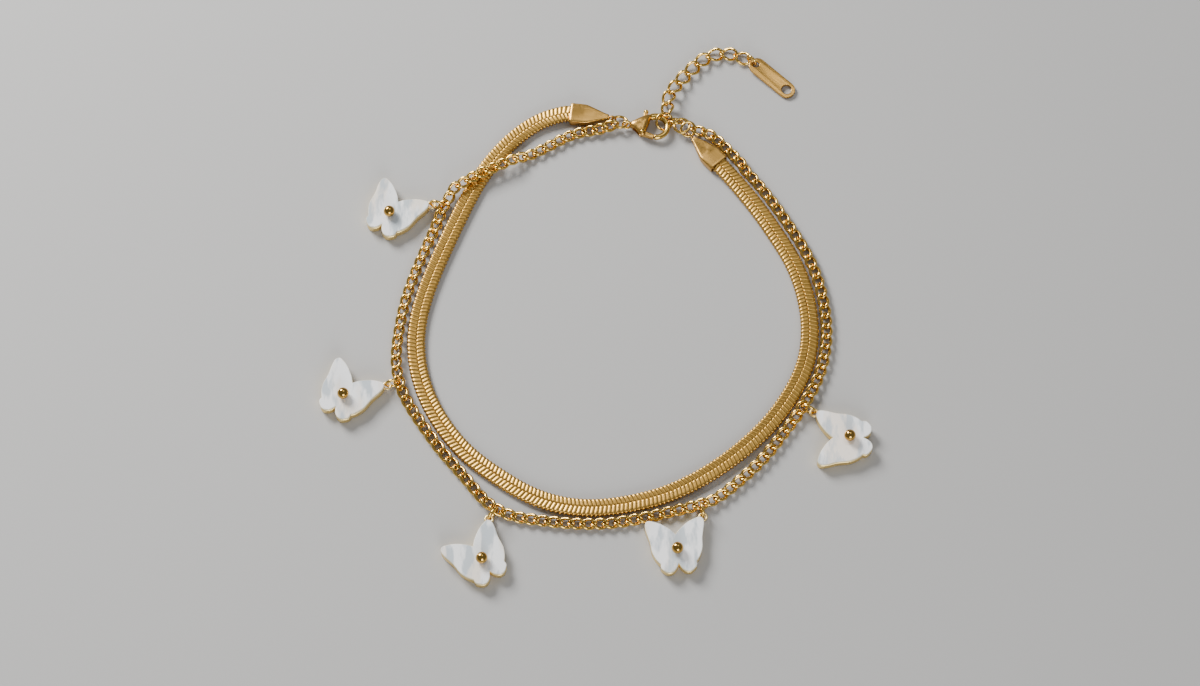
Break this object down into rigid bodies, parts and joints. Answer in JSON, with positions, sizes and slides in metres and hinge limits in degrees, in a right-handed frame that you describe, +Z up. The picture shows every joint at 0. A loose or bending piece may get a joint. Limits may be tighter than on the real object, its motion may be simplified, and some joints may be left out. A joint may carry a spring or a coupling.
{
  "type": "bracelet",
  "caption": "Layered bracelet lying in its loop: a flat woven band and a curb chain hung with butterfly charms, closed by a lobster clasp, with an extender chain and a tag.",
  "frame": {"origin": "middle of the foot of the lying bracelet's box", "axes": "+Z up from the surface it lies on, the thinnest way; +Y towards the clasp and the tag, the longest way; +X to the right seen from above with the clasp at the far side"},
  "size_m": [0.087, 0.0952, 0.0034],
  "materials": {
    "butterfly_1_backing": "polished gold plate",
    "butterfly_1_ring": "polished gold plate",
    "butterfly_1_shell": "glossy white nacre",
    "butterfly_2_backing": "polished gold plate",
    "butterfly_2_ring": "polished gold plate",
    "butterfly_2_shell": "glossy white nacre",
    "butterfly_3_backing": "polished gold plate",
    "butterfly_3_ring": "polished gold plate",
    "butterfly_3_shell": "glossy white nacre",
    "butterfly_4_backing": "polished gold plate",
    "butterfly_4_ring": "polished gold plate",
    "butterfly_4_shell": "glossy white nacre",
    "butterfly_5_backing": "polished gold plate",
    "butterfly_5_ring": "polished gold plate",
    "butterfly_5_shell": "glossy white nacre",
    "clasp_body": "brushed gold plate",
    "clasp_lever": "brushed gold plate",
    "clasp_pin": "polished gold plate",
    "clasp_ring": "polished gold plate",
    "curb_chain_left": "polished gold plate",
    "curb_chain_right": "polished gold plate",
    "end_cap_left": "brushed gold plate",
    "end_cap_right": "brushed gold plate",
    "end_ring_1": "polished gold plate",
    "end_ring_2": "polished gold plate",
    "end_ring_3": "polished gold plate",
    "extender_link_1": "polished gold plate",
    "extender_link_2": "polished gold plate",
    "extender_link_3": "polished gold plate",
    "extender_link_4": "polished gold plate",
    "extender_link_5": "polished gold plate",
    "extender_link_6": "polished gold plate",
    "extender_link_7": "polished gold plate",
    "extender_link_8": "polished gold plate",
    "extender_link_9": "polished gold plate",
    "herringbone_band": "polished woven gold plate",
    "hook_ring": "polished gold plate",
    "tag": "brushed gold plate",
    "tag_ring": "polished gold plate"
  },
  "bodies": {
    "bracelet": {"butterfly_1_backing": "butterfly_1_backing", "butterfly_1_ring": "butterfly_1_ring", "butterfly_1_shell": "butterfly_1_shell", "butterfly_2_backing": "butterfly_2_backing", "butterfly_2_ring": "butterfly_2_ring", "butterfly_2_shell": "butterfly_2_shell", "butterfly_3_backing": "butterfly_3_backing", "butterfly_3_ring": "butterfly_3_ring", "butterfly_3_shell": "butterfly_3_shell", "butterfly_4_backing": "butterfly_4_backing", "butterfly_4_ring": "butterfly_4_ring", "butterfly_4_shell": "butterfly_4_shell", "butterfly_5_backing": "butterfly_5_backing", "butterfly_5_ring": "butterfly_5_ring", "butterfly_5_shell": "butterfly_5_shell", "clasp_body": "clasp_body", "clasp_pin": "clasp_pin", "clasp_ring": "clasp_ring", "curb_chain_left": "curb_chain_left", "curb_chain_right": "curb_chain_right", "end_cap_left": "end_cap_left", "end_cap_right": "end_cap_right", "end_ring_1": "end_ring_1", "end_ring_2": "end_ring_2", "end_ring_3": "end_ring_3", "extender_link_1": "extender_link_1", "extender_link_2": "extender_link_2", "extender_link_3": "extender_link_3", "extender_link_4": "extender_link_4", "extender_link_5": "extender_link_5", "extender_link_6": "extender_link_6", "extender_link_7": "extender_link_7", "extender_link_8": "extender_link_8", "extender_link_9": "extender_link_9", "herringbone_band": "herringbone_band", "hook_ring": "hook_ring", "tag": "tag", "tag_ring": "tag_ring"},
    "lever": {"clasp_lever": "clasp_lever"}
  },
  "joints": [
    {"name": "lever_hinge", "type": "hinge", "parent": "bracelet", "child": "lever", "pos_m": [0.00782, 0.03116, 0.00106], "axis": [0, 0, 1], "range_deg": [0, 25], "stiffness_Nm_per_rad": 0.002, "springref_deg": -5.73}
  ]
}
